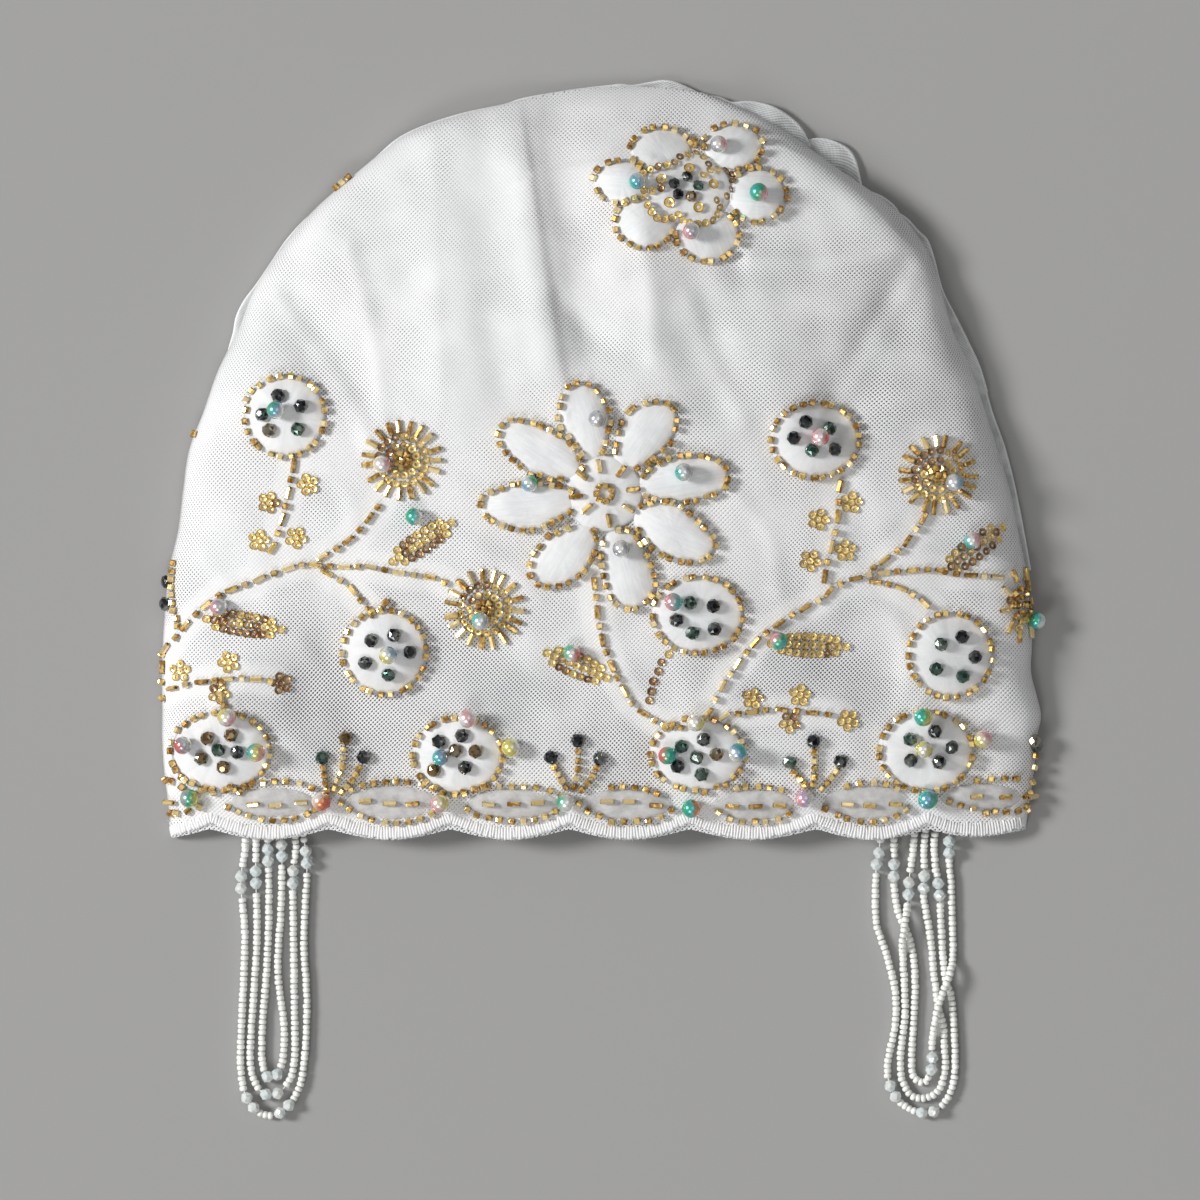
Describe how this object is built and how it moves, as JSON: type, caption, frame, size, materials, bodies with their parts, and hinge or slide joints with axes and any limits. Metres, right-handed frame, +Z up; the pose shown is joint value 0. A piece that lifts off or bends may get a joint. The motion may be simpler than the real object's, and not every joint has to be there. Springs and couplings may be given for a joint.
{
  "type": "beaded turban",
  "caption": "Soft cap of white stretch net lying flat, with padded flowers, sunbursts, leaves, pearls and crystals on its front, a scalloped hem and looped strings of white beads at each side.",
  "frame": {"origin": "centre of the underside, midway between the ends and sides of the whole object, on the surface it lies on", "axes": "+Z up out of the front of the cap as it lies on its back, +Y from the hem to the top of the cap, +X to the right of the front as seen from above"},
  "size_m": [0.2554, 0.2996, 0.032],
  "materials": {
    "net": "fine white stretch net, matt",
    "border": "white satin-stitched border",
    "padding": "white fluffy fibre padding",
    "gold_bead": "silver-lined gold glass beads and bugles, glossy",
    "sequin": "gold cup sequins, glossy",
    "pearl": "two-tone iridescent pearls",
    "dark_crystal": "black and dark iris faceted crystals",
    "clear_crystal": "clear faceted crystals with a faint iridescent coat",
    "white_bead": "opaque white glass seed beads, satin gloss"
  },
  "bodies": {
    "root": {"crown": "net", "hem_edging": "border", "daisy": "padding", "rose": "padding", "disc_1": "padding", "disc_2": "padding", "disc_3": "padding", "disc_4": "padding", "disc_5": "padding", "disc_6": "padding", "disc_7": "padding", "disc_8": "padding", "disc_9": "padding", "sunburst_1": "sequin", "sunburst_2": "sequin", "sunburst_3": "sequin", "sunburst_4": "sequin", "leaf_1": "sequin", "leaf_2": "sequin", "leaf_3": "sequin", "leaf_4": "sequin", "leaf_5": "sequin", "garland_1": "padding", "garland_2": "padding", "garland_3": "padding", "garland_4": "padding", "garland_5": "padding", "garland_6": "padding", "garland_7": "padding", "loop_left_outer": "white_bead", "loop_left_middle": "white_bead", "loop_left_inner": "white_bead", "loop_right_outer": "white_bead", "loop_right_middle": "white_bead", "loop_right_inner": "white_bead", "pearl_disc_1": "pearl", "pearl_disc_2": "pearl", "pearl_disc_3": "pearl", "pearl_disc_4": "pearl", "pearl_disc_6_top": "pearl", "pearl_disc_6_left": "pearl", "pearl_disc_6_right": "pearl", "pearl_disc_7_top": "pearl", "pearl_disc_7_right": "pearl", "pearl_disc_8_top": "pearl", "pearl_disc_8_right": "pearl", "pearl_disc_9_top": "pearl", "pearl_disc_9_right": "pearl", "pearl_hem_1": "pearl", "pearl_hem_2": "pearl", "pearl_hem_3": "pearl", "pearl_hem_4": "pearl", "pearl_hem_5": "pearl", "pearl_hem_6": "pearl", "pearl_hem_7": "pearl"}
  },
  "joints": []
}
